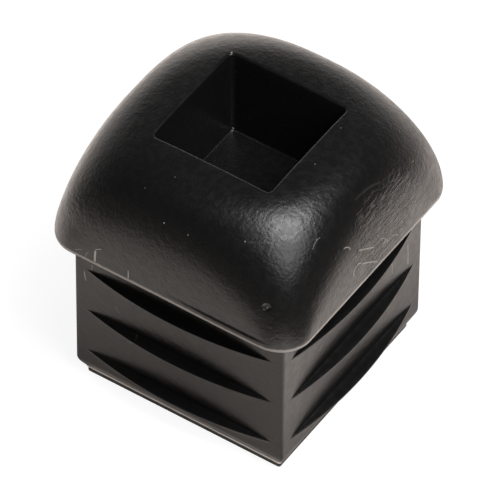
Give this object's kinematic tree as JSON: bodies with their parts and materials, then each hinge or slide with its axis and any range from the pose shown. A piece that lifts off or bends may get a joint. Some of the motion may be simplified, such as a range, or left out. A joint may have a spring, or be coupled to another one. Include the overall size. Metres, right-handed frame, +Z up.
{
  "type": "beam end cap",
  "caption": "Domed square end cap with a square socket in its crown and a hollow finned shank that grips inside a square beam.",
  "frame": {"origin": "middle of the foot's underside, where the cap stands", "axes": "+Z up the shank towards the crown of the head; X and Y square to the sides of the shank"},
  "size_m": [0.04, 0.04, 0.0444],
  "materials": {
    "black_plastic": "satin"
  },
  "bodies": {
    "root": {"end_cap": "black_plastic"}
  },
  "joints": []
}
